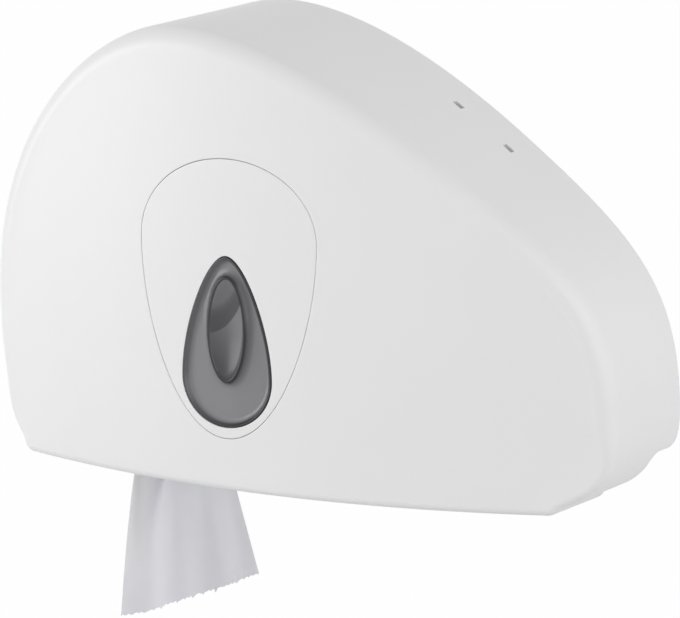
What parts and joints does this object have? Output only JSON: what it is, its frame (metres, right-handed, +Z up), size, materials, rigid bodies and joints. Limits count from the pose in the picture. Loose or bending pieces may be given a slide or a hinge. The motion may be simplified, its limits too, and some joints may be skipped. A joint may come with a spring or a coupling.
{
  "type": "jumbo toilet roll dispenser",
  "caption": "Wall-mounted jumbo toilet roll dispenser: egg-shaped bowed cover hinged on a back plate, full roll on the main spindle, second spindle for a stub roll, and a key lock.",
  "frame": {"origin": "centre of the rectangle of the wall-fixing holes, on the wall plane", "axes": "+X right seen from the front, +Y into the wall, +Z up; the front faces -Y"},
  "size_m": [0.3985, 0.13, 0.3585],
  "materials": {
    "shell_white": "smooth white ABS",
    "inner_white": "plain moulded white",
    "smoked_window": "smoke-grey translucent moulding, polished",
    "grey_acetal": "slippery grey moulding",
    "clip_steel": "bright plated",
    "screw_zinc": "zinc plated",
    "spring_steel": "drawn wire",
    "core_board": "wound grey-brown cardboard",
    "tissue_paper": "soft white tissue"
  },
  "bodies": {
    "base": {"back_plate": "inner_white", "hinge_pins": "clip_steel", "main_spindle": "inner_white", "main_spindle_screws": "screw_zinc", "main_spindle_cap": "inner_white", "main_cap_screw": "screw_zinc", "stub_spindle": "inner_white", "stub_spindle_screws": "screw_zinc", "stub_spindle_cap": "inner_white", "stub_cap_screw": "screw_zinc", "lock_housing": "inner_white", "lock_screws": "screw_zinc", "lock_springs": "spring_steel", "paper_tail": "tissue_paper"},
    "front_cover": {"cover": "shell_white", "window_plaque": "shell_white", "plaque_clips": "clip_steel", "window_lens": "smoked_window", "lens_clips": "clip_steel", "main_tear_strips": "inner_white", "stub_tear_strips": "inner_white", "tear_strip_rivets": "clip_steel"},
    "catch": {"lock_catch": "grey_acetal"},
    "main_roll": {"main_hub": "grey_acetal", "roll_core": "core_board", "paper_roll": "tissue_paper"},
    "stub_roll_hub": {"stub_hub": "grey_acetal"}
  },
  "joints": [
    {"name": "cover_hinge", "type": "hinge", "parent": "base", "child": "front_cover", "pos_m": [0, -0.0205, -0.0695], "axis": [1, 0, 0], "range_deg": [0, 90], "deforming": ["paper_tail"]},
    {"name": "main_roll_spin", "type": "hinge", "parent": "base", "child": "main_roll", "pos_m": [-0.062, 0, 0.052], "axis": [0, 1, 0], "continuous": true},
    {"name": "stub_hub_spin", "type": "hinge", "parent": "base", "child": "stub_roll_hub", "pos_m": [0.104, 0, -0.022], "axis": [0, 1, 0], "continuous": true},
    {"name": "catch_press", "type": "slide", "parent": "base", "child": "catch", "axis": [-0.5633, 0, -0.8263], "range_m": [0, 0.003], "stiffness_N_per_m": 800, "springref_m": -0.003, "deforming": ["lock_springs"]}
  ]
}
